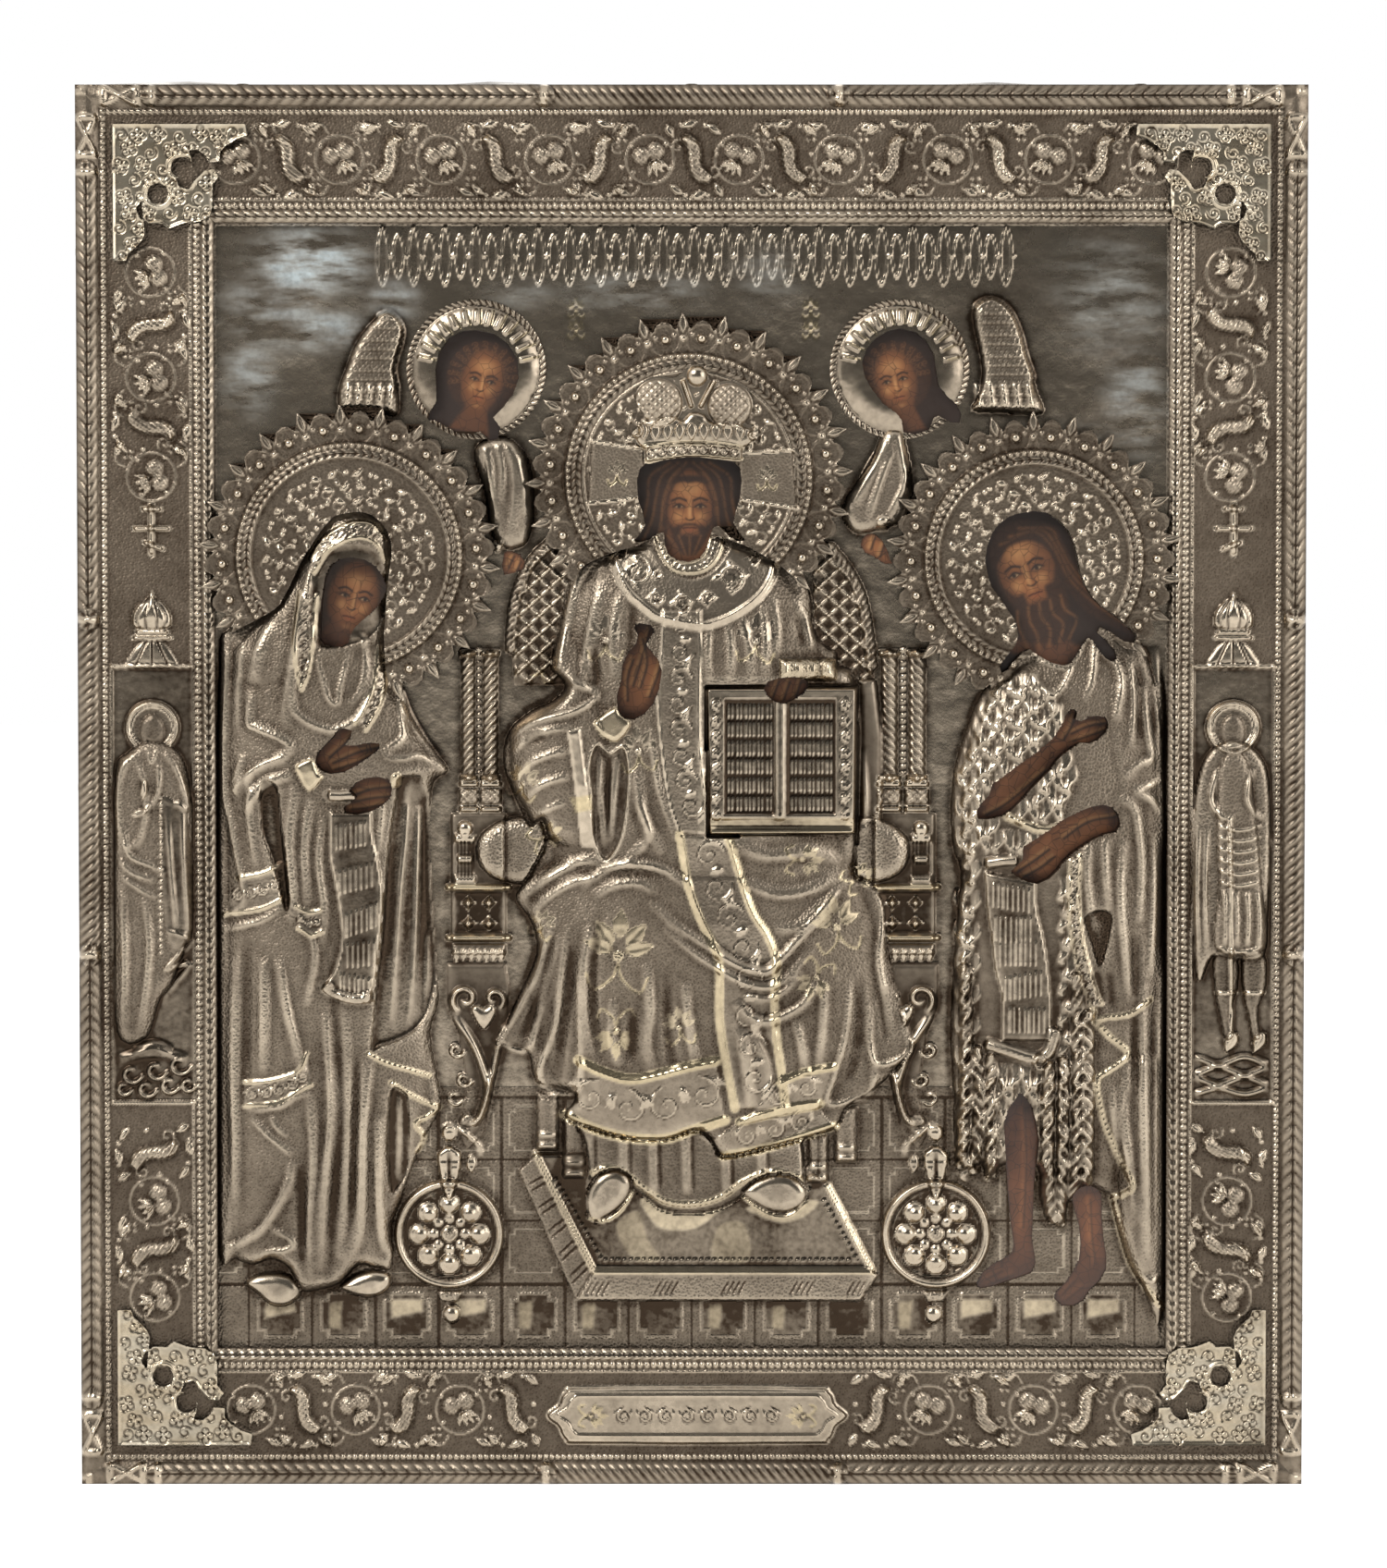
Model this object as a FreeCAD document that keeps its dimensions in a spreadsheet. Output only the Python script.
import FreeCAD, Part
import Sketcher
import math
import os
import re

# Icon with an embossed silver cover. The picture faces -Y, X runs to the right and Z up.
# The origin is the middle of the lower edge that the icon stands on, at half the panel's depth.

Vector = FreeCAD.Vector
doc = FreeCAD.newDocument("oklad_icon_cover")

# Driving dimensions in millimetres, and counts
SIZES = [
    ("panel_width", 311.0),
    ("panel_height", 355.5),
    ("panel_depth", 28.0),
    ("plank_seam", 24.0),
    ("recess_depth", 2.5),
    ("recess_lap", 2.0),
    ("ground_depth", 1.0),
    ("batten_end_inset", 10.5),
    ("batten_narrow_end", 22.0),
    ("batten_wide_end", 28.0),
    ("batten_undercut", 3.0),
    ("batten_housing", 9.0),
    ("batten_proud", 3.0),
    ("batten_fit", 0.15),
    ("upper_batten_below_top", 89.3),
    ("lower_batten_place", 82.0),
    ("border_width", 35.0),
    ("sheet_gauge", 0.6),
    ("sheet_fit", 0.2),
    ("band_fit", 0.3),
    ("band_flat", 12.0),
    ("band_flare", 3.4),
    ("side_flare", 1.5),
    ("outer_moulding_width", 6.8),
    ("outer_moulding_rise", 2.2),
    ("inner_moulding_width", 4.4),
    ("inner_moulding_rise", 1.0),
    ("ornament_pitch", 26.0),
    ("ornament_boss_radius", 5.6),
    ("ornament_boss_crown", 2.4),
    ("ornament_boss_rise", 1.8),
    ("ornament_horn_rise", 1.2),
    ("cartouche_length", 72.5),
    ("cartouche_height", 12.7),
    ("cartouche_rise", 1.0),
    ("saint_rise", 2.6),
    ("overlay_gap", 0.3),
    ("corner_arm", 34.0),
    ("corner_inset", 10.0),
    ("corner_hole_radius", 2.6),
    ("field_relief", 8.0),
    ("fold_rise", 1.7),
    ("fold_root", 0.4),
    ("throne_relief", 2.4),
    ("stool_relief", 3.4),
    ("book_relief", 8.6),
    ("tile_relief", 0.4),
    ("left_halo_radius", 32.4),
    ("centre_halo_radius", 35.3),
    ("right_halo_radius", 31.3),
    ("halo_rim", 4.2),
    ("halo_bead_radius", 0.55),
    ("halo_leaf_reach", 6.1),
    ("halo_foot_radius", 1.2),
    ("halo_head_clearance", 0.4),
    ("angel_halo_radius", 18.1),
    ("angel_halo_opening", 10.2),
    ("angel_halo_rise", 2.6),
    ("crown_dome_rise", 4.0),
    ("nail_radius", 0.6),
    ("nail_length", 11.0),
    ("nail_head_radius", 1.5),
    ("nail_head_height", 0.7),
    ("nail_fit", 0.1),
    ("nail_corner_distance", 42.0),
    ("eye_wire_radius", 1.0),
    ("eye_loop_radius", 3.2),
    ("eye_shank", 12.0),
    ("eye_standoff", 4.6),
    ("eye_below_top", 32.0),
    ("ring_radius", 13.0),
    ("ring_wire_radius", 1.5),
    ("ring_play", 0.3),
    ("overrun", 2.0),
]

# Places worked out from the driving dimensions
PLACES = [
    ("panel_base", "sheet_gauge + band_fit"),
    ("panel_back", "panel_depth / 2"),
    ("batten_length", "panel_width - 2 * batten_end_inset"),
    ("ground_front", "-(panel_depth / 2 + ground_depth)"),
    ("cover_width", "panel_width + 2 * (sheet_gauge + band_fit)"),
    ("cover_height", "panel_height + 2 * (sheet_gauge + band_fit)"),
    ("upper_batten_place", "cover_height - upper_batten_below_top"),
    ("field_width", "cover_width - 2 * border_width"),
    ("field_height", "cover_height - 2 * border_width"),
    ("recess_width", "field_width + 2 * recess_lap"),
    ("recess_height", "field_height + 2 * recess_lap"),
    ("recess_floor", "recess_depth - panel_depth / 2"),
    ("field_back", "recess_floor - ground_depth"),
    ("field_front", "field_back - sheet_gauge"),
    ("strip_front", "ground_front - sheet_gauge"),
    ("overlay_back", "strip_front - inner_moulding_rise - overlay_gap"),
    ("overlay_front", "overlay_back - sheet_gauge"),
    ("nail_row", "ground_front + band_flat / 2"),
    ("ring_axis_y", "panel_back + eye_standoff"),
    ("ring_axis_z", "cover_height - eye_below_top"),
    ("eye_lift", "eye_loop_radius - eye_wire_radius - ring_wire_radius - ring_play"),
]

NAMES = {}
RESOLVED = {}
NEARLY_NOTHING = 1e-6


def named(text):
    """Write the sheet's name before each size that an expression uses."""
    return re.sub(r"[a-z_]+", lambda word: NAMES.get(word.group(), word.group()), str(text))


def make_sheets():
    sizes = doc.addObject("Spreadsheet::Sheet", "Sizes")
    for row, (name, size) in enumerate(SIZES, start=1):
        sizes.set("A%d" % row, name)
        sizes.set("B%d" % row, str(size))
        sizes.setAlias("B%d" % row, name)
        NAMES[name] = "Sizes." + name
    places = doc.addObject("Spreadsheet::Sheet", "Places")
    for row, (name, formula) in enumerate(PLACES, start=1):
        places.set("A%d" % row, name)
        places.set("B%d" % row, "=" + named(formula))
        places.setAlias("B%d" % row, name)
        NAMES[name] = "Places." + name
    doc.addObject("Spreadsheet::Sheet", "Probe")
    doc.recompute()


def value(text):
    """The number that a size, a place or a sum of them has."""
    if text not in RESOLVED:
        doc.Probe.set("A1", "=" + named(text))
        doc.Probe.recompute()
        RESOLVED[text] = float(doc.Probe.get("A1"))
    return RESOLVED[text]


def bind(item, expressions):
    for prop, text in expressions.items():
        item.setExpression(prop, named(text))
    return item


def place(item, x="0", y="0", z="0", axis=None, angle=0):
    """Bind where an object stands and turn it about an axis through its own origin."""
    if axis:
        item.Placement = FreeCAD.Placement(Vector(), FreeCAD.Rotation(axis, angle))
    return bind(item, {"Placement.Base.x": x, "Placement.Base.y": y, "Placement.Base.z": z})


def box(name, size, low, axis=None, angle=0):
    item = doc.addObject("Part::Box", name)
    bind(item, {"Length": size[0], "Width": size[1], "Height": size[2]})
    return place(item, *low, axis=axis, angle=angle)


def prism(name, sides, radius, height, low, axis=None, angle=0):
    item = doc.addObject("Part::Prism", name)
    item.Polygon = sides
    bind(item, {"Circumradius": radius, "Height": height})
    return place(item, *low, axis=axis, angle=angle)


def feature(name, shape):
    item = doc.addObject("Part::Feature", name)
    item.Shape = shape
    return item


def skin(sections, closed=False):
    """A solid through sections of equal count, walled in flat facets and capped at both ends."""
    faces = []
    rows = list(zip(sections, sections[1:]))
    if closed:
        rows.append((sections[-1], sections[0]))
    for first, second in rows:
        for index in range(len(first)):
            after = (index + 1) % len(first)
            corners = [first[index], first[after], second[after], second[index]]
            if flat(corners):
                faces.append(facet(corners))
            else:
                faces += [facet(corners[:3]), facet([corners[0], corners[2], corners[3]])]
    if not closed:
        faces += [facet(sections[0]), facet(sections[-1])]
    shell = Part.Shell(faces)
    shell.sewShape()
    solid = Part.Solid(shell)
    if solid.Volume < 0:
        solid.reverse()
    return solid


def facet(corners):
    return Part.Face(Part.makePolygon(corners + corners[:1]))


def flat(corners):
    """Whether four corners lie in one plane."""
    first, second, third, fourth = corners
    normal = (second - first).cross(third - first)
    reach = max(normal.Length, NEARLY_NOTHING)
    return abs(normal.dot(fourth - first)) / reach < NEARLY_NOTHING


def fuse(name, items):
    item = doc.addObject("Part::MultiFuse", name)
    item.Shapes = items
    return item


def cut(name, base, tools):
    item = doc.addObject("Part::Cut", name)
    item.Base = base
    item.Tool = tools[0] if len(tools) == 1 else fuse(name + "_tools", tools)
    return item


AXIS_X = Vector(1, 0, 0)
AXIS_Y = Vector(0, 1, 0)
AXIS_Z = Vector(0, 0, 1)
FACING_X = FreeCAD.Rotation(AXIS_Y, AXIS_Z, AXIS_X)
FACING_FRONT = FreeCAD.Rotation(AXIS_X, AXIS_Z, -AXIS_Y)


def outline(name, corners, rotation=FACING_FRONT, arcs=None):
    """A closed sketch through corners written as expressions; arcs gives a corner's rise to the next."""
    arcs = arcs or {}
    points = [Vector(value(across), value(up), 0) for across, up in corners]
    sketch = doc.addObject("Sketcher::SketchObject", name)
    sketch.Placement = FreeCAD.Placement(Vector(), rotation)
    for index, start in enumerate(points):
        end = points[(index + 1) % len(points)]
        if index in arcs:
            run = end - start
            rise = value(arcs[index])
            crown = (start + end) / 2 + Vector(run.y, -run.x, 0).normalize() * rise
            arc = Part.Arc(start, crown, end) if rise > 0 else Part.Arc(end, crown, start)
            sketch.addGeometry(arc)
        else:
            sketch.addGeometry(Part.LineSegment(start, end))
    return constrain(sketch, points, corners, arcs)


def constrain(sketch, points, corners, arcs):
    """Bind each corner of an outline, and the radius of each arc, to its expressions."""
    for index, (across, up) in enumerate(corners):
        curve = sketch.Geometry[index]
        start = 1 if curve.StartPoint.distanceToPoint(points[index]) < NEARLY_NOTHING else 2
        before = (index - 1) % len(corners)
        last = sketch.Geometry[before]
        end = 2 if last.EndPoint.distanceToPoint(points[index]) < NEARLY_NOTHING else 1
        sketch.addConstraint(Sketcher.Constraint("Coincident", before, end, index, start))
        for kind, text in (("DistanceX", across), ("DistanceY", up)):
            number = value(text)
            if abs(number) < NEARLY_NOTHING:
                axis = -2 if kind == "DistanceX" else -1
                sketch.addConstraint(Sketcher.Constraint("PointOnObject", index, start, axis))
                continue
            spot = sketch.addConstraint(Sketcher.Constraint(kind, -1, 1, index, start, number))
            sketch.setExpression("Constraints[%d]" % spot, named(text))
    for index, rise in arcs.items():
        following = corners[(index + 1) % len(corners)]
        chord = "abs((%s) - (%s))" % (following[0], corners[index][0])
        radius = "((%s) ^ 2 / 4 + (%s) ^ 2) / (2 * abs(%s))" % (chord, rise, rise)
        spot = sketch.addConstraint(Sketcher.Constraint("Radius", index, value(radius)))
        sketch.setExpression("Constraints[%d]" % spot, named(radius))
    return sketch


def extrude(name, sketch, direction, length, symmetric=False):
    item = doc.addObject("Part::Extrusion", name)
    item.Base = sketch
    item.DirMode = "Custom"
    item.Dir = direction
    item.Solid = True
    item.Symmetric = symmetric
    bind(item, {"LengthFwd": length})
    return item


# The wooden panel

def dovetail(name, middle, entry, spare):
    """The tapered bar of a back batten, or with spare room the groove that it slides into."""
    sections = []
    ends = (("-1", "batten_wide_end" if entry < 0 else "batten_narrow_end"),
            ("1", "batten_narrow_end" if entry < 0 else "batten_wide_end"))
    for side, width in ends:
        deep = "%s / 2 + batten_undercut + %s" % (width, spare)
        mouth = "%s / 2 + %s" % (width, spare)
        floor = "panel_back - batten_housing - %s" % spare
        top = "panel_back + batten_proud + %s" % ("overrun" if spare != "0" else "0")
        corners = [(floor, "%s - (%s)" % (middle, deep)), (top, "%s - (%s)" % (middle, mouth)),
                   (top, "%s + (%s)" % (middle, mouth)), (floor, "%s + (%s)" % (middle, deep))]
        section = outline("%s_section_%d" % (name, len(sections)), corners, FACING_X)
        reach = "panel_width / 2" if spare != "0" else "batten_length / 2"
        bind(section, {"Placement.Base.x": "%s * (%s)" % (side, reach)})
        sections.append(section)
    bar = doc.addObject("Part::Loft", name)
    bar.Sections = sections
    bar.Solid = True
    bar.Ruled = True
    return bar


NAIL_SIDES = 4
NAIL_HEAD_SIDES = 6
EYE_HOLE_SIDES = 12


def nail_places():
    """Where each edge nail stands: the middle of the top and both sides, and one near each end."""
    wide = "cover_width / 2 - nail_corner_distance"
    tall = "cover_height / 2 - nail_corner_distance"
    places = []
    for step in (-1, 0, 1):
        across = "%d * (%s)" % (step, wide)
        up = "cover_height / 2 + %d * (%s)" % (step, tall)
        places.append((across, "cover_height", AXIS_X, 0))
        places.append(("-cover_width / 2", up, AXIS_Y, -90))
        places.append(("cover_width / 2", up, AXIS_Y, 90))
    return places


def nail_holes(name):
    """Drill holes for all edge nails, from outside each band down past the nail's point."""
    holes = []
    for index, (across, up, axis, angle) in enumerate(nail_places()):
        hole = prism("%s_%d" % (name, index), NAIL_SIDES, "nail_radius + nail_fit",
                     "nail_length + nail_fit + overrun", (across, "nail_row", up), axis, angle)
        turned = hole.Placement.Rotation.multVec(AXIS_Z)
        depth = "(nail_length + nail_fit)"
        bind(hole, {"Placement.Base.x": "%s - %d * %s" % (across, round(turned.x), depth),
                    "Placement.Base.z": "%s - %d * %s" % (up, round(turned.z), depth)})
        holes.append(hole)
    return fuse(name, holes)


def panel_planks(holes):
    """Two limewood planks, glued edge to edge, with the sunk field in front and grooves behind."""
    recess = box("field_recess", ("recess_width", "recess_depth + overrun", "recess_height"),
                 ("-recess_width / 2", "-panel_back - overrun",
                  "cover_height / 2 - recess_height / 2"))
    upper = dovetail("upper_groove", "upper_batten_place", -1, "batten_fit")
    lower = dovetail("lower_groove", "lower_batten_place", 1, "batten_fit")
    shank = prism("eye_hole", EYE_HOLE_SIDES, "eye_wire_radius + 2 * nail_fit",
                  "eye_shank + nail_fit + overrun",
                  ("0", "panel_back + overrun", "ring_axis_z + eye_lift"), AXIS_X, 90)
    tools = fuse("panel_cuts", [recess, upper, lower, shank, holes])
    spans = {"panel_plank_left": ("-panel_width / 2", "panel_width / 2 + plank_seam"),
             "panel_plank_right": ("plank_seam", "panel_width / 2 - plank_seam")}
    planks = []
    for name, (start, width) in spans.items():
        blank = box(name + "_blank", (width, "panel_depth", "panel_height"),
                    (start, "-panel_back", "panel_base"))
        planks.append(cut(name, blank, [tools]))
    return planks


def back_battens():
    """Two oak battens across the back, each slid in from its own side."""
    return [dovetail("back_batten_upper", "upper_batten_place", -1, "0"),
            dovetail("back_batten_lower", "lower_batten_place", 1, "0")]


def painted_ground():
    """The gesso coat that carries the painting: over the border and down into the sunk field."""
    coat = box("border_coat", ("panel_width", "ground_depth", "panel_height"),
               ("-panel_width / 2", "ground_front", "panel_base"))
    tray = box("field_coat", ("recess_width", "recess_depth", "recess_height"),
               ("-recess_width / 2", "-panel_back", "cover_height / 2 - recess_height / 2"))
    hollow = box("field_hollow", ("recess_width - 2 * ground_depth",
                                  "field_back - ground_front + overrun",
                                  "recess_height - 2 * ground_depth"),
                 ("ground_depth - recess_width / 2", "ground_front - overrun",
                  "cover_height / 2 - recess_height / 2 + ground_depth"))
    return cut("painted_ground", fuse("ground_solid", [coat, tray]), [hollow])


# The silver cover's outer strips

TOP_FLARE_SHARES = [0.75, 1.0, 0.55, 0.5, 1.0, 0.6, 0.45, 0.5, 0.62, 0.95, 0.55, 0.5, 0.6]
SIDE_FLARE_SHARES = [0.3, 0.6, 0.4, 0.8, 1.0, 0.7, 0.9, 0.5, 0.3]


def flared_band(name, length, flare, shares, holes, spot, axis=None, angle=0):
    """A side band in its own frame: flat over the front part, sprung out and wavy at the back."""
    reach = value(length) / 2
    gauge = value("sheet_gauge")
    front = value("ground_front")
    bend = front + value("band_flat")
    back = value("panel_back")
    strip = Part.makeBox(2 * reach, value("band_flat"), gauge, Vector(-reach, front, -gauge))
    step = 2 * reach / (len(shares) - 1)
    sections = []
    for index, share in enumerate(shares):
        along = index * step - reach
        rise = share * value(flare)
        sections.append([Vector(along, bend, -gauge), Vector(along, bend, 0),
                         Vector(along, back, rise), Vector(along, back, rise - gauge)])
    band = feature(name + "_sheet", strip.fuse(skin(sections)).removeSplitter())
    place(band, *spot, axis=axis, angle=angle)
    return cut(name, band, [holes])


def side_bands(holes):
    """Four thin bands nailed round the panel's sides; the icon stands on the lower one."""
    inner = "cover_height - 2 * (sheet_gauge + sheet_fit)"
    top = flared_band("side_band_top", "cover_width", "band_flare", TOP_FLARE_SHARES, holes,
                      ("0", "0", "cover_height"))
    left = flared_band("side_band_left", inner, "side_flare", SIDE_FLARE_SHARES, holes,
                       ("-cover_width / 2", "0", "cover_height / 2"), AXIS_Y, -90)
    right = flared_band("side_band_right", inner, "side_flare", SIDE_FLARE_SHARES, holes,
                        ("cover_width / 2", "0", "cover_height / 2"), AXIS_Y, 90)
    lower = box("lower_sheet", ("cover_width", "panel_back - ground_front", "sheet_gauge"),
                ("-cover_width / 2", "ground_front", "0"))
    return [top, left, right, cut("side_band_bottom", lower, [holes])]


# An embossed form's section: across in shares of its half width, and rise in shares of its depth
ARCH_SHARES = [(-1.0, 0.0), (-0.7, 0.7), (0.0, 0.95), (0.7, 0.7), (1.0, 0.0)]


def arch(low, high, back, rise, level, skirt=0):
    """A section of embossed sheet at one height: straight behind, swelling to the front."""
    middle = (low + high) / 2
    half = (high - low) / 2
    points = [Vector(middle + side * half, back - share * rise, level) for side, share in ARCH_SHARES]
    if skirt:
        points = [Vector(low, back + skirt, level)] + points + [Vector(high, back + skirt, level)]
    return points


BOSS_SIDES = 7


def round_form(middle, rings, sides):
    """A round swelling that faces the front: rings of a radius and a rise, as facetted rounds."""
    sections = []
    for radius, rise in rings:
        section = []
        for step in range(sides):
            angle = 2 * math.pi * step / sides
            section.append(middle + Vector(radius * math.cos(angle), -rise, radius * math.sin(angle)))
        sections.append(section)
    return skin(sections)


# Across a border strip from its inner edge, and along it from its middle, in photograph pixels
PIXELS_PER_BORDER = 148.0
CARTOUCHE_POINT_SHARE = 0.07
SAINT_LEVELS = [
    (-318, 44, 88, 0.45),
    (-290, 30, 100, 0.75),
    (-200, 34, 98, 0.9),
    (-60, 30, 102, 1.0),
    (20, 34, 96, 0.95),
    (48, 48, 86, 0.7),
    (60, 52, 86, 0.75),
    (84, 58, 80, 0.5),
]


def strip_profile(name):
    """The section of a border strip: sheet of one gauge, bulged into an outer and inner moulding."""
    corners = [
        ("0", "0"),
        ("0", "-sheet_gauge"),
        ("inner_moulding_width", "-sheet_gauge"),
        ("border_width - outer_moulding_width", "-sheet_gauge"),
        ("border_width", "-sheet_gauge"),
        ("border_width", "0"),
        ("border_width - sheet_gauge", "0"),
        ("border_width - outer_moulding_width + sheet_gauge", "0"),
        ("inner_moulding_width - sheet_gauge", "0"),
        ("sheet_gauge", "0"),
    ]
    arcs = {1: "inner_moulding_rise", 3: "outer_moulding_rise", 6: "-outer_moulding_rise",
            8: "-inner_moulding_rise"}
    return outline(name, corners, FreeCAD.Rotation(AXIS_Z, AXIS_Y, -AXIS_X), arcs)


DIAGONAL_SHARE = math.sqrt(2)


def mitre(name, length, side):
    """A block that takes the corner off one end of a strip at forty five degrees."""
    along = "%d * ((%s) / 2 - 2 * border_width)" % (side, length)
    up = "-border_width"
    if side < 0:
        along += " - %s * border_width" % DIAGONAL_SHARE
        up += " - %s * border_width" % DIAGONAL_SHARE
    size = ("2 * border_width", "4 * border_width", "4 * border_width")
    return box(name, size, (along, "-2 * border_width", up), AXIS_Y, 45 * side)


def boss_row(name, places):
    """The fruit bosses of the running ornament, each a low facetted knob on the strip's ground."""
    rise = value("ornament_boss_rise")
    rings = [(value("ornament_boss_radius"), 0), (value("ornament_boss_crown"), rise)]
    gauge = value("sheet_gauge")
    middle = value("(border_width + inner_moulding_width - outer_moulding_width) / 2")
    bosses = [round_form(Vector(along * value("ornament_pitch"), -gauge / 2, middle), rings, BOSS_SIDES)
              for along in places]
    return feature(name, Part.makeCompound(bosses))


def border_strip(name, length, bosses, extras, spot, angle):
    """One mitred strip of the frame, made lying along X and then turned to its side."""
    sheet = extrude(name + "_sheet", strip_profile(name + "_profile"), AXIS_X, length, True)
    solid = fuse(name + "_solid", [sheet, boss_row(name + "_bosses", bosses)] + extras)
    strip = cut(name, solid, [mitre(name + "_end_a", length, 1), mitre(name + "_end_b", length, -1)])
    return place(strip, *spot, axis=AXIS_Y, angle=angle)


def cartouche():
    """The bare raised plate in the middle of the lower strip, pointed at both ends."""
    half = "cartouche_length / 2"
    point = "(cartouche_length / 2 - %s * cartouche_length)" % CARTOUCHE_POINT_SHARE
    middle = "(border_width + inner_moulding_width - outer_moulding_width) / 2"
    low = "%s - cartouche_height / 2" % middle
    high = "%s + cartouche_height / 2" % middle
    corners = [("-(%s)" % half, middle), ("-" + point, high), (point, high),
               (half, middle), (point, low), ("-" + point, low)]
    plate = extrude("cartouche_plate", outline("cartouche_outline", corners), -AXIS_Y,
                    "sheet_gauge + cartouche_rise")
    return plate


def border_saint(name, side):
    """A small standing figure embossed in an upright strip, as one swelling form."""
    scale = value("border_width") / PIXELS_PER_BORDER
    sections = []
    for along, low, high, share in SAINT_LEVELS:
        rise = share * value("saint_rise") + value("sheet_gauge")
        sections.append(arch(side * low * scale, side * high * scale, 0, rise, along * scale))
    return feature(name, skin(sections).rotate(Vector(), AXIS_Y, -90 * side))


# A horn of the running ornament: from its middle, in shares of the boss radius
HORN_SHARES = [(-1.0, 0.9), (-0.3, 1.1), (0.35, 0.3), (1.3, -0.2), (1.2, -0.9), (0.1, -1.0), (-0.45, -0.1),
               (-1.1, 0.3)]
LEFT_HORNS = [-4.5, 3.5, 4.5, 5.4]
RIGHT_HORNS = [-5.4, -4.5, -3.5, 4.5]


def horns(name, places):
    """The horns between the fruit bosses, each one low solid leaf of sheet."""
    reach = value("ornament_boss_radius")
    rise = value("ornament_horn_rise") + value("sheet_gauge") / 2
    middle = value("(border_width + inner_moulding_width - outer_moulding_width) / 2")
    shapes = []
    for place_share in places:
        along = place_share * value("ornament_pitch")
        corners = [Vector(along + x * reach, -value("sheet_gauge") / 2, middle + z * reach)
                   for x, z in HORN_SHARES]
        shapes.append(facet(corners).extrude(Vector(0, -rise, 0)))
    return feature(name, Part.makeCompound(shapes))


# Where each strip's bosses stand, in steps of the ornament from the strip's middle
TOP_BOSSES = [-3.5, -2.5, -1.5, -0.5, 0.5, 1.5, 2.5, 3.5]
BOTTOM_BOSSES = [-4.3, -3.3, -2.3, 2.3, 3.3, 4.3]
LEFT_BOSSES = [-5, -4, 3, 4, 5]
RIGHT_BOSSES = [-5, -4, -3, 4, 5]


def border_strips():
    """The four strips of the frame, which meet in mitres under the corner plates."""
    wide = "cover_width"
    tall = "cover_height"
    inner_x = "(cover_width / 2 - border_width)"
    middle = "cover_height / 2"
    left_saint = border_saint("left_border_saint", -1)
    right_saint = border_saint("right_border_saint", 1)
    return [
        border_strip("border_strip_top", wide, TOP_BOSSES, [],
                     ("0", "ground_front", "cover_height - border_width"), 0),
        border_strip("border_strip_bottom", wide, BOTTOM_BOSSES, [cartouche()],
                     ("0", "ground_front", "border_width"), 180),
        border_strip("border_strip_left", tall, LEFT_BOSSES,
                     [left_saint, horns("left_horns", LEFT_HORNS)],
                     ("-" + inner_x, "ground_front", middle), -90),
        border_strip("border_strip_right", tall, RIGHT_BOSSES,
                     [right_saint, horns("right_horns", RIGHT_HORNS)],
                     (inner_x, "ground_front", middle), 90),
    ]


# A corner plate's outline from its outer corner, in shares of its arm
CORNER_SHARES = [
    (0.0, 0.0), (1.0, 0.0), (1.0, 0.08), (0.93, 0.1), (0.85, 0.17), (0.79, 0.2), (0.79, 0.28),
    (0.71, 0.28), (0.69, 0.33), (0.78, 0.4), (0.745, 0.46), (0.745, 0.6), (0.68, 0.68),
    (0.6, 0.745), (0.46, 0.745), (0.4, 0.78), (0.33, 0.69), (0.28, 0.71), (0.28, 0.79),
    (0.2, 0.79), (0.17, 0.85), (0.1, 0.93), (0.08, 1.0), (0.0, 1.0),
]
CORNER_HOLE_SHARE = (0.51, 0.32)
CORNER_HOLE_SIDES = 12
CORNER_SLOT_SHARE = 0.045
CORNER_SLOT_END_SHARE = 0.71


def corner_plate(name, spot, angle):
    """A chased plate over a mitre, with a hooked cut-out in each arm."""
    corners = [("%s * corner_arm" % across, "-%s * corner_arm" % up) for across, up in CORNER_SHARES]
    blank = extrude(name + "_blank", outline(name + "_outline", corners), -AXIS_Y, "sheet_gauge")
    tools = []
    for index, (across, up) in enumerate((CORNER_HOLE_SHARE, CORNER_HOLE_SHARE[::-1])):
        hole = prism("%s_hole_%d" % (name, index), CORNER_HOLE_SIDES, "corner_hole_radius",
                     "sheet_gauge + 2 * overrun",
                     ("%s * corner_arm" % across, "overrun", "-%s * corner_arm" % up), AXIS_X, 90)
        tools.append(hole)
    slot_width = "2 * %s * corner_arm" % CORNER_SLOT_SHARE
    reach = "(%s - %s) * corner_arm" % (CORNER_SLOT_END_SHARE, CORNER_HOLE_SHARE[0])
    low = "-(%s + %s) * corner_arm" % (CORNER_HOLE_SHARE[1], CORNER_SLOT_SHARE)
    tools.append(box(name + "_slot_a", (reach, "sheet_gauge + 2 * overrun", slot_width),
                     ("%s * corner_arm" % CORNER_HOLE_SHARE[0], "-sheet_gauge - overrun", low)))
    left = "(%s - %s) * corner_arm" % (CORNER_HOLE_SHARE[1], CORNER_SLOT_SHARE)
    tools.append(box(name + "_slot_b", (slot_width, "sheet_gauge + 2 * overrun", reach),
                     (left, "-sheet_gauge - overrun", "-%s * corner_arm" % CORNER_SLOT_END_SHARE)))
    plate = cut(name, blank, tools)
    return place(plate, *spot, axis=AXIS_Y, angle=angle)


def corner_plates():
    """The same plate four times, turned to each corner of the frame."""
    right = "(cover_width / 2 - corner_inset)"
    top = "(cover_height - corner_inset)"
    spots = {"corner_plate_top_left": (("-" + right, "overlay_back", top), 0),
             "corner_plate_top_right": ((right, "overlay_back", top), 90),
             "corner_plate_bottom_right": ((right, "overlay_back", "corner_inset"), 180),
             "corner_plate_bottom_left": (("-" + right, "overlay_back", "corner_inset"), -90)}
    return [corner_plate(name, spot, angle) for name, (spot, angle) in spots.items()]


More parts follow.
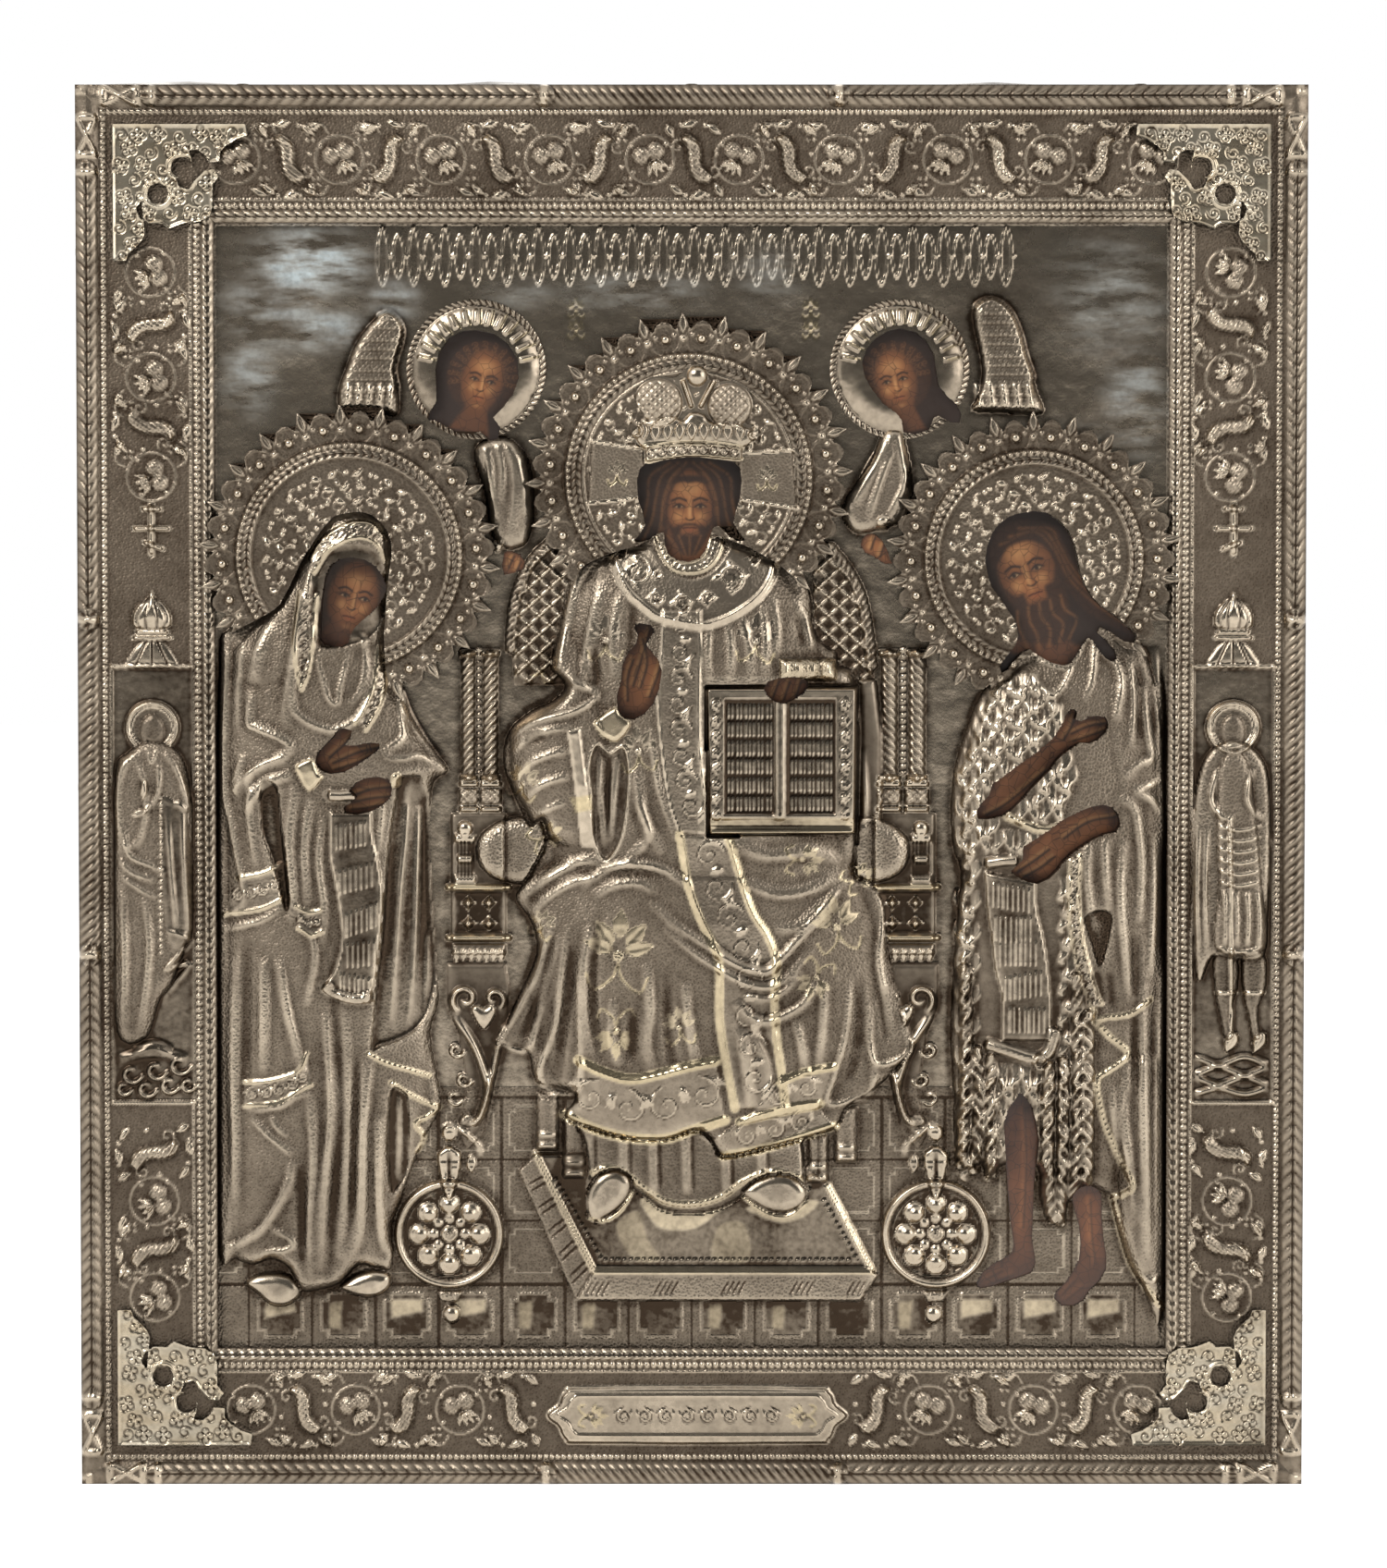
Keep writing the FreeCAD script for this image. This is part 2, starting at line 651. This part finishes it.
# The embossed scene, placed by pixels of the photograph inside the field's opening
FIELD_LEFT = 232.0
FIELD_RIGHT = 1264.0
FIELD_TOP = 243.0
FIELD_BOTTOM = 1463.0
FIELD_MIDDLE = 748.0

# Each level of a figure: pixel row, left and right pixel, and share of the relief's depth
LEFT_FIGURE = [
    (552, 362, 398, 0.3), (566, 345, 418, 0.6), (592, 330, 428, 0.8), (625, 314, 426, 0.85),
    (662, 282, 423, 0.75), (705, 246, 422, 0.8), (755, 240, 434, 0.85), (834, 238, 478, 0.9),
    (870, 238, 462, 0.85), (1060, 240, 466, 0.85), (1200, 238, 468, 0.75), (1260, 238, 446, 0.7),
    (1390, 246, 416, 0.55), (1408, 270, 396, 0.3),
]
RIGHT_FIGURE = [
    (712, 1092, 1236, 0.4), (745, 1070, 1248, 0.7), (800, 1044, 1256, 0.85), (860, 1034, 1259, 0.9),
    (920, 1036, 1260, 0.9), (1000, 1048, 1259, 0.85), (1100, 1046, 1259, 0.8),
    (1200, 1042, 1252, 0.75), (1262, 1052, 1232, 0.6), (1296, 1070, 1210, 0.35),
]
RIGHT_MANTLE = [
    (1150, 1196, 1258, 0.6), (1250, 1206, 1258, 0.6), (1340, 1212, 1259, 0.5),
    (1400, 1228, 1260, 0.4), (1424, 1240, 1260, 0.2),
]
TORSO = [
    (590, 664, 826, 0.35), (612, 634, 852, 0.6), (650, 612, 874, 0.85), (710, 598, 900, 0.95),
    (800, 592, 912, 1.0), (900, 590, 924, 1.0), (965, 598, 938, 0.9),
]
LAP = [
    (922, 600, 915, 0.6), (950, 572, 936, 0.95), (1000, 562, 952, 1.0), (1060, 560, 956, 0.95),
    (1140, 576, 948, 0.8), (1200, 604, 904, 0.65), (1246, 644, 836, 0.4),
]
UNDER_ROBE = [(1190, 640, 880, 0.5), (1262, 640, 872, 0.45), (1302, 702, 792, 0.25)]
LEFT_SLEEVE = [
    (690, 600, 640, 0.4), (735, 574, 650, 0.85), (790, 548, 678, 1.0), (850, 550, 680, 0.95),
    (900, 578, 672, 0.8), (930, 624, 660, 0.4),
]
RIGHT_SLEEVE = [
    (690, 880, 908, 0.3), (735, 882, 926, 0.6), (800, 900, 941, 0.6), (880, 904, 944, 0.6),
    (928, 892, 938, 0.4),
]
LEFT_ANGEL = [(483, 517, 544, 0.2), (510, 514, 571, 0.4), (560, 526, 575, 0.4), (592, 538, 566, 0.2)]
RIGHT_ANGEL = [(483, 954, 984, 0.2), (505, 940, 982, 0.4), (545, 917, 984, 0.4), (574, 924, 950, 0.2)]
LEFT_WING = [(334, 402, 424, 0.15), (362, 388, 434, 0.3), (400, 374, 428, 0.35), (440, 368, 428, 0.2)]
RIGHT_WING = [
    (332, 1062, 1086, 0.15), (362, 1058, 1104, 0.3), (400, 1062, 1114, 0.35), (440, 1058, 1124, 0.2),
]
FIGURES = [LEFT_FIGURE, RIGHT_FIGURE, RIGHT_MANTLE, TORSO, LAP, UNDER_ROBE, LEFT_SLEEVE,
           RIGHT_SLEEVE, LEFT_ANGEL, RIGHT_ANGEL, LEFT_WING, RIGHT_WING]

# The main folds of the robes: half width in pixels, and the crest's path in pixels
FOLDS = [
    (11, [(702, 975), (760, 1020), (832, 1050), (880, 1010), (914, 952)]),
    (11, [(641, 1000), (631, 1060), (633, 1146)]),
    (10, [(705, 1050), (700, 1150)]),
    (10, [(886, 1060), (852, 1096), (806, 1108)]),
    (9, [(950, 985), (946, 1040), (944, 1100)]),
    (10, [(632, 640), (616, 690)]),
    (11, [(352, 1095), (357, 1230), (346, 1370)]),
    (11, [(398, 1138), (391, 1250), (378, 1355)]),
    (9, [(254, 1035), (252, 1180), (254, 1330)]),
    (9, [(284, 1035), (283, 1165)]),
    (10, [(1240, 1060), (1239, 1200), (1242, 1375)]),
    (9, [(1214, 905), (1212, 990), (1220, 1085)]),
    (9, [(1056, 1050), (1058, 1255)]),
    (9, [(1140, 1155), (1142, 1290)]),
    (9, [(1172, 1060), (1174, 1280)]),
]

# Shoes: left and right pixel, and upper and lower pixel row
SHOES = [(262, 324, 1380, 1418), (364, 422, 1378, 1408), (632, 684, 1266, 1325), (802, 876, 1270, 1318)]
SHOE_WIDTH_SHARES = [(0.0, 0.55, 0.35), (0.3, 0.95, 0.8), (0.7, 1.0, 0.8), (1.0, 0.6, 0.35)]
SHOE_SHARE = 0.6

# The throne: slender columns, panelled blocks, wheels and the arched back
COLUMNS = [506, 530, 966, 992]
COLUMN_HALF_WIDTH = 7
COLUMN_LEVELS = [(684, 1.25), (712, 1.0), (838, 1.0), (846, 1.3), (876, 1.35)]
COLUMN_SHARE = 0.35
THRONE_BLOCKS = [(486, 545, 880, 1020), (960, 1012, 880, 1020), (490, 545, 1022, 1046),
                 (960, 1010, 1022, 1046)]
THRONE_BACK = [(548, 880), (548, 700), (560, 645), (596, 606), (646, 600), (850, 600), (902, 600),
               (932, 645), (944, 700), (944, 880)]
WHEELS = [(485, 1341), (1014, 1340)]
WHEEL_RADIUS = 60
WHEEL_RIM = 8
PETAL_RING = 32
PETAL_RADIUS = 11
PETAL_COUNT = 8
WHEEL_BOSS = 9
WHEEL_SIDES = 18
PETAL_SIDES = 5

BACK_SHARE = 0.5

STOOL_TOP_SHARE = 0.75
STOOL_TOP = [(578, 1251), (893, 1282), (944, 1379), (641, 1379)]
STOOL_FRONT = [(641, 1379), (944, 1379), (952, 1384), (932, 1413), (621, 1412)]
STOOL_SIDE = [(578, 1251), (641, 1379), (621, 1412), (559, 1270)]
BOOK = [(762, 742), (928, 742), (926, 903), (765, 905)]
TILE_PITCH = 69
TILE_FIRST = 265
TILE_COUNT = 14
TILE_INSET = 10
TILE_ROWS = (1405, 1452)

# Openings cut in the cover where the painting shows, as points of a smooth closed outline
HEAD_OPENINGS = {
    "left": [(384, 602), (404, 610), (417, 630), (414, 654), (392, 676), (378, 697), (352, 700),
             (345, 676), (350, 630), (364, 607)],
    "centre": [(700, 502), (746, 494), (796, 501), (803, 530), (794, 564), (812, 586), (776, 572),
               (766, 596), (744, 608), (722, 598), (714, 574), (682, 587), (697, 562), (688, 530)],
    "right": [(1098, 557), (1132, 555), (1160, 586), (1180, 640), (1216, 684), (1200, 706),
              (1168, 712), (1130, 716), (1092, 712), (1090, 660), (1068, 610), (1072, 574)],
}
HAND_OPENINGS = [
    [(374, 787), (376, 806), (410, 805), (384, 829), (348, 833), (343, 815), (360, 796)],
    [(380, 856), (410, 841), (423, 858), (400, 878), (372, 876)],
    [(690, 675), (708, 681), (703, 702), (715, 728), (700, 770), (672, 774), (668, 750), (680, 705)],
    [(828, 743), (848, 732), (874, 741), (850, 760)],
    [(546, 597), (566, 604), (562, 620), (544, 618)],
    [(936, 578), (958, 588), (966, 608), (936, 598)],
    [(1152, 775), (1170, 779), (1197, 777), (1192, 797), (1162, 807), (1122, 848), (1084, 882),
     (1058, 884), (1072, 852), (1120, 814)],
    [(1112, 912), (1152, 885), (1196, 871), (1210, 896), (1168, 917), (1136, 949), (1096, 943)],
    [(1105, 1183), (1122, 1216), (1120, 1340), (1121, 1378), (1062, 1398), (1096, 1360), (1088, 1220)],
    [(1164, 1296), (1182, 1286), (1195, 1300), (1199, 1374), (1166, 1418), (1144, 1408), (1171, 1356)],
]

# Halo centres in pixels, with the count and the first angle of their scallops
HALOS = {
    "left": {"centre": (378, 602), "count": 22, "first": -11.7, "feet": (60, 120)},
    "centre": {"centre": (745, 517), "count": 24, "first": -9.7, "feet": (30, 150)},
    "right": {"centre": (1118, 606), "count": 22, "first": -8.7, "feet": (60, 120)},
}
ANGEL_HALOS = {"left": (515, 400), "right": (973, 400)}


def across(pixel):
    """Distance right of the middle for a pixel column."""
    return (pixel - FIELD_MIDDLE) / (FIELD_RIGHT - FIELD_LEFT) * value("field_width")


def up(pixel):
    """Height above the icon's foot for a pixel row."""
    share = (FIELD_BOTTOM - pixel) / (FIELD_BOTTOM - FIELD_TOP)
    return value("border_width") + share * value("field_height")


def relief(levels, depth, hollow=False):
    """An embossed form lofted through its levels, or the hollow that the sheet leaves behind it."""
    gauge = value("sheet_gauge") if hollow else 0
    back = value("field_back")
    skirt = value("overrun") if hollow else 0
    sections = []
    for index, (row, left, right, share) in enumerate(levels):
        level = up(row)
        if index == 0:
            level -= gauge
        if index == len(levels) - 1:
            level += gauge
        rise = value("sheet_gauge") + share * depth - gauge
        sections.append(arch(across(left) + gauge, across(right) - gauge, back, rise, level, skirt))
    return skin(sections)


def body_height(column, row):
    """How far the embossed figures stand out at a pixel, as a height over the field's back."""
    highest = 0
    for levels in FIGURES:
        for upper, lower in zip(levels, levels[1:]):
            if upper[0] <= row <= lower[0]:
                share = (row - upper[0]) / (lower[0] - upper[0])
                left, right, part = [one + share * (two - one) for one, two in zip(upper[1:], lower[1:])]
                offset = abs(2 * column - left - right) / (right - left)
                for inner, outer in zip(ARCH_SHARES[2:], ARCH_SHARES[3:]):
                    if inner[0] <= offset <= outer[0]:
                        turn = (offset - inner[0]) / (outer[0] - inner[0])
                        highest = max(highest, part * (inner[1] + turn * (outer[1] - inner[1])))
    return value("sheet_gauge") + highest * value("field_relief")


def fold(half, path):
    """A main fold of a robe: a solid ridge of three sides that follows the body under it."""
    back = value("field_back")
    limit = value("sheet_gauge") + value("field_relief") + value("fold_rise") / 2
    sections = []
    for index, (column, row) in enumerate(path):
        before = path[max(index - 1, 0)]
        after = path[min(index + 1, len(path) - 1)]
        length = math.hypot(after[0] - before[0], after[1] - before[1])
        side_x, side_y = (after[1] - before[1]) / length * half, (before[0] - after[0]) / length * half
        feet = [(column - side_x, row - side_y), (column + side_x, row + side_y)]
        roots = [Vector(across(x), back - body_height(x, y) + value("fold_root"), up(y)) for x, y in feet]
        crest = min(body_height(column, row) + value("fold_rise"), limit)
        sections.append([roots[0], Vector(across(column), back - crest, up(row)), roots[1]])
    return skin(sections)


def pad(points, rise, hollow=False):
    """A flat raised panel of the sheet, or the hollow behind it."""
    back = value("field_back")
    corners = [Vector(across(column), back, up(row)) for column, row in points]
    face = Part.Face(Part.makePolygon(corners + corners[:1]))
    gauge = value("sheet_gauge")
    if not hollow:
        return face.extrude(Vector(0, -gauge - rise, 0))
    inner = face.makeOffset2D(-gauge)
    inner.translate(Vector(0, value("overrun"), 0))
    return inner.extrude(Vector(0, -rise - value("overrun"), 0))


def rows_box(left, right, top, bottom):
    return [(left, top), (right, top), (right, bottom), (left, bottom)]


def shoe_levels(left, right, top, bottom):
    """A rounded shoe seen from above, as a few levels between its upper and lower row."""
    middle = (left + right) / 2
    half = (right - left) / 2
    return [(top + share * (bottom - top), middle - width * half, middle + width * half,
             rise * SHOE_SHARE) for share, width, rise in SHOE_WIDTH_SHARES]


def column_levels(middle):
    half = COLUMN_HALF_WIDTH
    return [(row, middle - half * width, middle + half * width, COLUMN_SHARE * width)
            for row, width in COLUMN_LEVELS]


OPENING_SIDES = 14
MITRED_JOIN = 2


def rounded(points):
    """A smooth closed curve through a few points, as a facetted outline."""
    curve = Part.BSplineCurve()
    curve.interpolate(points, PeriodicFlag=True)
    return curve.discretize(Number=OPENING_SIDES + 1)[:-1]


def opening(points, spare=0):
    """A prism through the cover along a rounded outline."""
    face = facet(rounded([Vector(across(column), 0, up(row)) for column, row in points]))
    if spare:
        face = face.makeOffset2D(spare, MITRED_JOIN)
    depth = value("panel_depth")
    face.translate(Vector(0, -2 * depth, 0))
    return face.extrude(Vector(0, 2 * depth, 0))


def wheel(centre, hollow=False):
    """A throne wheel: a round disc with a raised rim and eight petals about a boss."""
    scale = value("field_width") / (FIELD_RIGHT - FIELD_LEFT)
    gauge = value("sheet_gauge")
    rise = value("throne_relief")
    middle = Vector(across(centre[0]), value("field_back"), up(centre[1]))
    radius = WHEEL_RADIUS * scale
    inner = radius - WHEEL_RIM * scale
    if hollow:
        return round_form(middle, [(radius - gauge, -value("overrun")), (radius - gauge, rise / 2)],
                          WHEEL_SIDES)
    disc = round_form(middle, [(radius, 0), (radius, gauge + rise)], WHEEL_SIDES)
    dish = round_form(middle, [(inner, gauge + rise / 2), (inner, 2 * rise)], WHEEL_SIDES)
    whole = disc.cut(dish)
    for step in range(PETAL_COUNT):
        angle = 2 * math.pi * step / PETAL_COUNT
        offset = Vector(math.cos(angle), 0, math.sin(angle)) * PETAL_RING * scale
        petal = [(PETAL_RADIUS * scale, gauge), (PETAL_RADIUS * scale / 2, gauge + rise)]
        whole = whole.fuse(round_form(middle + offset, petal, PETAL_SIDES))
    boss = [(WHEEL_BOSS * scale, gauge), (WHEEL_BOSS * scale / 2, gauge + rise)]
    return whole.fuse(round_form(middle, boss, PETAL_SIDES))


def field_forms(hollow):
    """All embossed forms of the scene, or all the hollows behind them."""
    depth = value("field_relief")
    throne = value("throne_relief")
    forms = [relief(levels, depth, hollow) for levels in FIGURES]
    forms += [relief(shoe_levels(*shoe), depth, hollow) for shoe in SHOES]
    if not hollow:
        forms += [fold(*line) for line in FOLDS]
        forms += [relief(column_levels(middle), throne) for middle in COLUMNS]
    forms += [pad(rows_box(*block), throne, hollow) for block in THRONE_BLOCKS]
    forms.append(pad(THRONE_BACK, throne * BACK_SHARE, hollow))
    forms.append(pad(STOOL_TOP, value("stool_relief") * STOOL_TOP_SHARE, hollow))
    forms.append(pad(STOOL_FRONT, value("stool_relief"), hollow))
    forms.append(pad(STOOL_SIDE, value("stool_relief"), hollow))
    forms.append(pad(BOOK, value("book_relief"), hollow))
    forms += [wheel(centre, hollow) for centre in WHEELS]
    return forms


def tiles():
    """The row of raised floor tiles along the foot of the scene."""
    shapes = []
    for step in range(TILE_COUNT):
        left = TILE_FIRST + step * TILE_PITCH + TILE_INSET
        right = TILE_FIRST + (step + 1) * TILE_PITCH - TILE_INSET
        shapes.append(pad(rows_box(left, right, *TILE_ROWS), value("tile_relief")))
    return shapes


def joined(shapes):
    """Overlapping forms as one shape, added one after another."""
    whole = shapes[0]
    for shape in shapes[1:]:
        whole = whole.fuse(shape)
    return whole


def field_sheet():
    """The scene, chased in one thin sheet that is hollow behind and cut out over the painting."""
    gauge = value("sheet_gauge")
    margin = value("recess_lap - ground_depth - sheet_fit")
    width = value("field_width") + 2 * margin
    height = value("field_height") + 2 * margin
    low = Vector(-width / 2, value("field_front"), value("border_width") - margin)
    plate = Part.makeBox(width, gauge, height, low)
    embossed = plate.fuse(joined(field_forms(False))).fuse(tiles())
    thin = embossed.cut(joined(field_forms(True)))
    openings = [opening(points) for points in HEAD_OPENINGS.values()]
    openings += [opening(points) for points in HAND_OPENINGS]
    return feature("field_sheet", thin.cut(openings))


# Halos and crown, which are separate pieces laid over the scene

def figure_prism(levels, spare):
    """A prism round a figure's silhouette, wider by the clearance that a halo keeps."""
    left = [Vector(across(left) - spare, 0, up(row)) for row, left, right in levels]
    right = [Vector(across(right) + spare, 0, up(row)) for row, left, right in levels]
    left[0].z += spare
    right[0].z += spare
    corners = left + right[::-1]
    face = Part.Face(Part.makePolygon(corners + corners[:1]))
    depth = value("panel_depth")
    face.translate(Vector(0, -2 * depth, 0))
    return face.extrude(Vector(0, 2 * depth, 0))


# A scallop of a halo's rim: turn in shares of its pitch, and where it lies between the rim and its tip
LOBE_SHARES = [(-0.34, 0.0), (-0.22, 0.6), (0.0, 0.8), (0.22, 0.6), (0.34, 0.0), (0.5, 1.0)]
RING_SIDES = 24
FOOT_SIDES = 6


def scallops(name, radius, count, first):
    """The halo's flat sheet: a round lobe and a pointed leaf, repeated round its rim."""
    rim = value(radius)
    reach = value("halo_leaf_reach")
    points = []
    for step in range(count):
        for turn, share in LOBE_SHARES:
            angle = math.radians(360.0 * (step + turn) / count + 90 - first)
            length = rim + share * reach
            points.append(Vector(length * math.cos(angle), length * math.sin(angle), 0))
    face = Part.Face(Part.makePolygon(points + points[:1]))
    return feature(name + "_sheet", face.extrude(Vector(0, 0, value("sheet_gauge"))))


def scalloped_halo(side, rooms):
    """A halo with its beaded ring, a rim of round lobes with a leaf between each pair, and feet."""
    facts = HALOS[side]
    radius = side + "_halo_radius"
    name = "halo_" + side
    sheet = scallops(name, radius, facts["count"], facts["first"])
    bead = "(%s - halo_rim)" % radius
    outer = prism(name + "_ring_outer", RING_SIDES, bead + " + halo_bead_radius",
                  "sheet_gauge + halo_bead_radius", ("0", "0", "0"))
    inner = prism(name + "_ring_inner", RING_SIDES, bead + " - halo_bead_radius",
                  "sheet_gauge + 2 * halo_bead_radius", ("0", "0", "0"))
    ring = cut(name + "_ring", outer, [inner])
    feet = []
    for index, angle in enumerate(facts["feet"]):
        spot = ("%s * cos(%d)" % (bead, angle), "%s * sin(%d)" % (bead, angle),
                "overlay_back - field_front")
        feet.append(prism("%s_foot_%d" % (name, index), FOOT_SIDES, "halo_foot_radius",
                          "field_front - overlay_back + sheet_gauge / 2", spot))
    whole = fuse(name + "_whole", [sheet, ring] + feet)
    whole.Placement = FreeCAD.Placement(Vector(), FreeCAD.Rotation(AXIS_X, 90))
    centre = facts["centre"]
    share_x = (centre[0] - FIELD_MIDDLE) / (FIELD_RIGHT - FIELD_LEFT)
    share_z = (FIELD_BOTTOM - centre[1]) / (FIELD_BOTTOM - FIELD_TOP)
    bind(whole, {"Placement.Base.x": "%s * field_width" % share_x,
                 "Placement.Base.y": "overlay_back",
                 "Placement.Base.z": "border_width + %s * field_height" % share_z})
    spare = value("halo_head_clearance")
    tools = [feature(name + "_head_room", opening(HEAD_OPENINGS[side], spare))]
    for index, room in enumerate(rooms):
        tools.append(feature("%s_body_room_%d" % (name, index), figure_prism(room, spare)))
    return cut(name, whole, tools)


# Where the halos stop over a neck and over the shoulders: pixel row, left and right pixel
CENTRE_ROOM = [(566, 704, 786), (590, 664, 826), (625, 616, 868), (655, 560, 930), (900, 560, 930)]
RIGHT_ROOM = [(676, 1104, 1222), (696, 1096, 1262), (716, 1092, 1262)]


def halos():
    left = [level[:3] for level in LEFT_FIGURE]
    right = [level[:3] for level in RIGHT_FIGURE]
    return [scalloped_halo("left", [left]), scalloped_halo("centre", [CENTRE_ROOM]),
            scalloped_halo("right", [RIGHT_ROOM, right])]


ANGEL_OPENING_SHARES = {
    "left": [(0.15, 1.0), (0.75, 0.6), (0.9, -0.1), (0.4, -0.75), (-0.3, -1.2), (-0.95, -0.9),
             (-0.85, 0.2), (-0.5, 0.85)],
    "right": [(-0.15, 1.0), (-0.75, 0.6), (-0.9, -0.1), (-0.4, -0.75), (0.3, -1.2), (0.95, -0.9),
              (0.85, 0.2), (0.5, 0.85)],
}


# A domed halo's section: radius and rise, in shares of its own radius and rise
DOME_SHARES = [(1.0, 0.0), (0.95, 0.6), (0.8, 0.97), (0.62, 0.75), (0.5, 0.2)]
DOME_SIDES = 14


def angel_halo(side):
    """A plain polished halo, domed like a saucer, with an opening for the painted head."""
    centre = ANGEL_HALOS[side]
    radius = value("angel_halo_radius")
    rise = value("angel_halo_rise")
    gauge = value("sheet_gauge")
    middle = Vector(across(centre[0]), value("field_front"), up(centre[1]))
    outer = round_form(middle, [(share * radius, high * rise + gauge * (high > 0))
                                for share, high in DOME_SHARES], DOME_SIDES)
    inner = round_form(middle, [(share * radius - gauge, high * rise)
                                for share, high in DOME_SHARES], DOME_SIDES)
    room = value("angel_halo_opening")
    face = facet(rounded([middle + Vector(x * room, 0, z * room)
                          for x, z in ANGEL_OPENING_SHARES[side]]))
    face.translate(Vector(0, radius, 0))
    hole = face.extrude(Vector(0, -2 * radius, 0))
    return feature("angel_halo_" + side, outer.cut(inner).cut(hole))


CROWN_BAND = [(684, 463), (694, 452), (734, 452), (748, 443), (766, 452), (806, 454), (820, 468),
              (804, 480), (801, 499), (750, 495), (697, 500), (696, 480)]
CROWN_DOMES = [(712, 437, 26), (789, 440, 24)]
CROWN_DOME_SHARES = [(1.0, 0.0), (0.92, 0.4), (0.7, 0.7), (0.38, 0.9)]
CROWN_SIDES = 10


def crown():
    """A low crown of two domes over a leafed band, laid on the centre halo."""
    pixel = value("field_width") / (FIELD_RIGHT - FIELD_LEFT)
    seat = value("overlay_front - halo_bead_radius - overlay_gap")
    corners = [Vector(across(column), seat, up(row)) for column, row in CROWN_BAND]
    face = Part.Face(Part.makePolygon(corners + corners[:1]))
    whole = face.extrude(Vector(0, -2 * value("sheet_gauge"), 0))
    for column, row, size in CROWN_DOMES:
        rings = [(share * size * pixel, high * value("crown_dome_rise"))
                 for share, high in CROWN_DOME_SHARES]
        whole = whole.fuse(round_form(Vector(across(column), seat, up(row)), rings, CROWN_SIDES))
    return feature("crown", whole)


# Nails, staple and ring

def edge_nails():
    """The nails that hold the side bands, as one group of equal nails."""
    nails = []
    for index, (spot_x, spot_z, axis, angle) in enumerate(nail_places()):
        shank = prism("nail_shank_%d" % index, NAIL_SIDES, "nail_radius", "nail_length",
                      (spot_x, "nail_row", spot_z), axis, angle)
        turned = shank.Placement.Rotation.multVec(AXIS_Z)
        bind(shank, {"Placement.Base.x": "%s - %d * nail_length" % (spot_x, round(turned.x)),
                     "Placement.Base.z": "%s - %d * nail_length" % (spot_z, round(turned.z))})
        head = prism("nail_head_%d" % index, NAIL_HEAD_SIDES, "nail_head_radius",
                     "nail_head_height", (spot_x, "nail_row", spot_z), axis, angle)
        nails.append(fuse("nail_%d" % index, [shank, head]))
    group = doc.addObject("Part::Compound", "edge_nails")
    group.Links = nails
    return group


WIRE_SIDES = 8
EYE_TURNS = 20
RING_TURNS = 28


def wire_ring(radius, wire, turns):
    """A ring of wire about the Z axis, as an eight sided section carried round in equal steps."""
    sections = []
    for turn in range(turns):
        around = FreeCAD.Rotation(AXIS_Z, 360.0 * turn / turns)
        section = []
        for step in range(WIRE_SIDES):
            angle = 2 * math.pi * (step + 0.5) / WIRE_SIDES
            section.append(around.multVec(Vector(radius + wire * math.cos(angle), 0,
                                                 wire * math.sin(angle))))
        sections.append(section)
    return skin(sections, closed=True)


def hanging_eye():
    """A wire eye driven into the back of the panel."""
    wire = wire_ring(value("eye_loop_radius"), value("eye_wire_radius"), EYE_TURNS)
    loop = feature("eye_loop", wire)
    place(loop, "0", "ring_axis_y", "ring_axis_z + eye_lift", AXIS_Y, 90)
    length = "eye_shank + eye_standoff - eye_loop_radius"
    shank = prism("eye_shank_wire", WIRE_SIDES, "eye_wire_radius", length,
                  ("0", "panel_back + eye_standoff - eye_loop_radius", "ring_axis_z + eye_lift"),
                  AXIS_X, 90)
    return fuse("hanging_eye", [loop, shank])


def hanging_ring():
    """The loose ring that the icon hangs by; it swings about its own wire inside the eye."""
    wire = wire_ring(value("ring_radius"), value("ring_wire_radius"), RING_TURNS)
    ring = feature("hanging_ring", wire)
    return place(ring, "0", "ring_axis_y", "ring_axis_z - ring_radius", AXIS_X, 90)


def check(items):
    """Stop if any object failed or any sub-part has no sound shape."""
    doc.recompute()
    for item in doc.Objects:
        if "Invalid" in item.State or "Error" in item.State:
            raise RuntimeError("%s failed: %s" % (item.Name, item.State))
    for item in items:
        if item.Shape.isNull() or not item.Shape.isValid():
            raise RuntimeError("%s has no sound shape" % item.Name)


def main():
    make_sheets()
    holes = nail_holes("nail_holes")
    items = panel_planks(holes) + back_battens() + [painted_ground()] + side_bands(holes)
    items += border_strips() + corner_plates()
    items.append(field_sheet())
    items += halos()
    items += [angel_halo("left"), angel_halo("right"), crown()]
    items += [edge_nails(), hanging_eye(), hanging_ring()]
    check(items)
    os.makedirs("parts", exist_ok=True)
    for item in items:
        item.Label = item.Name
        item.Shape.exportStep("parts/%s.step" % item.Name)
        print(item.Name, len(item.Shape.Solids), round(item.Shape.Volume, 1))


if __name__ == "__main__":
    main()
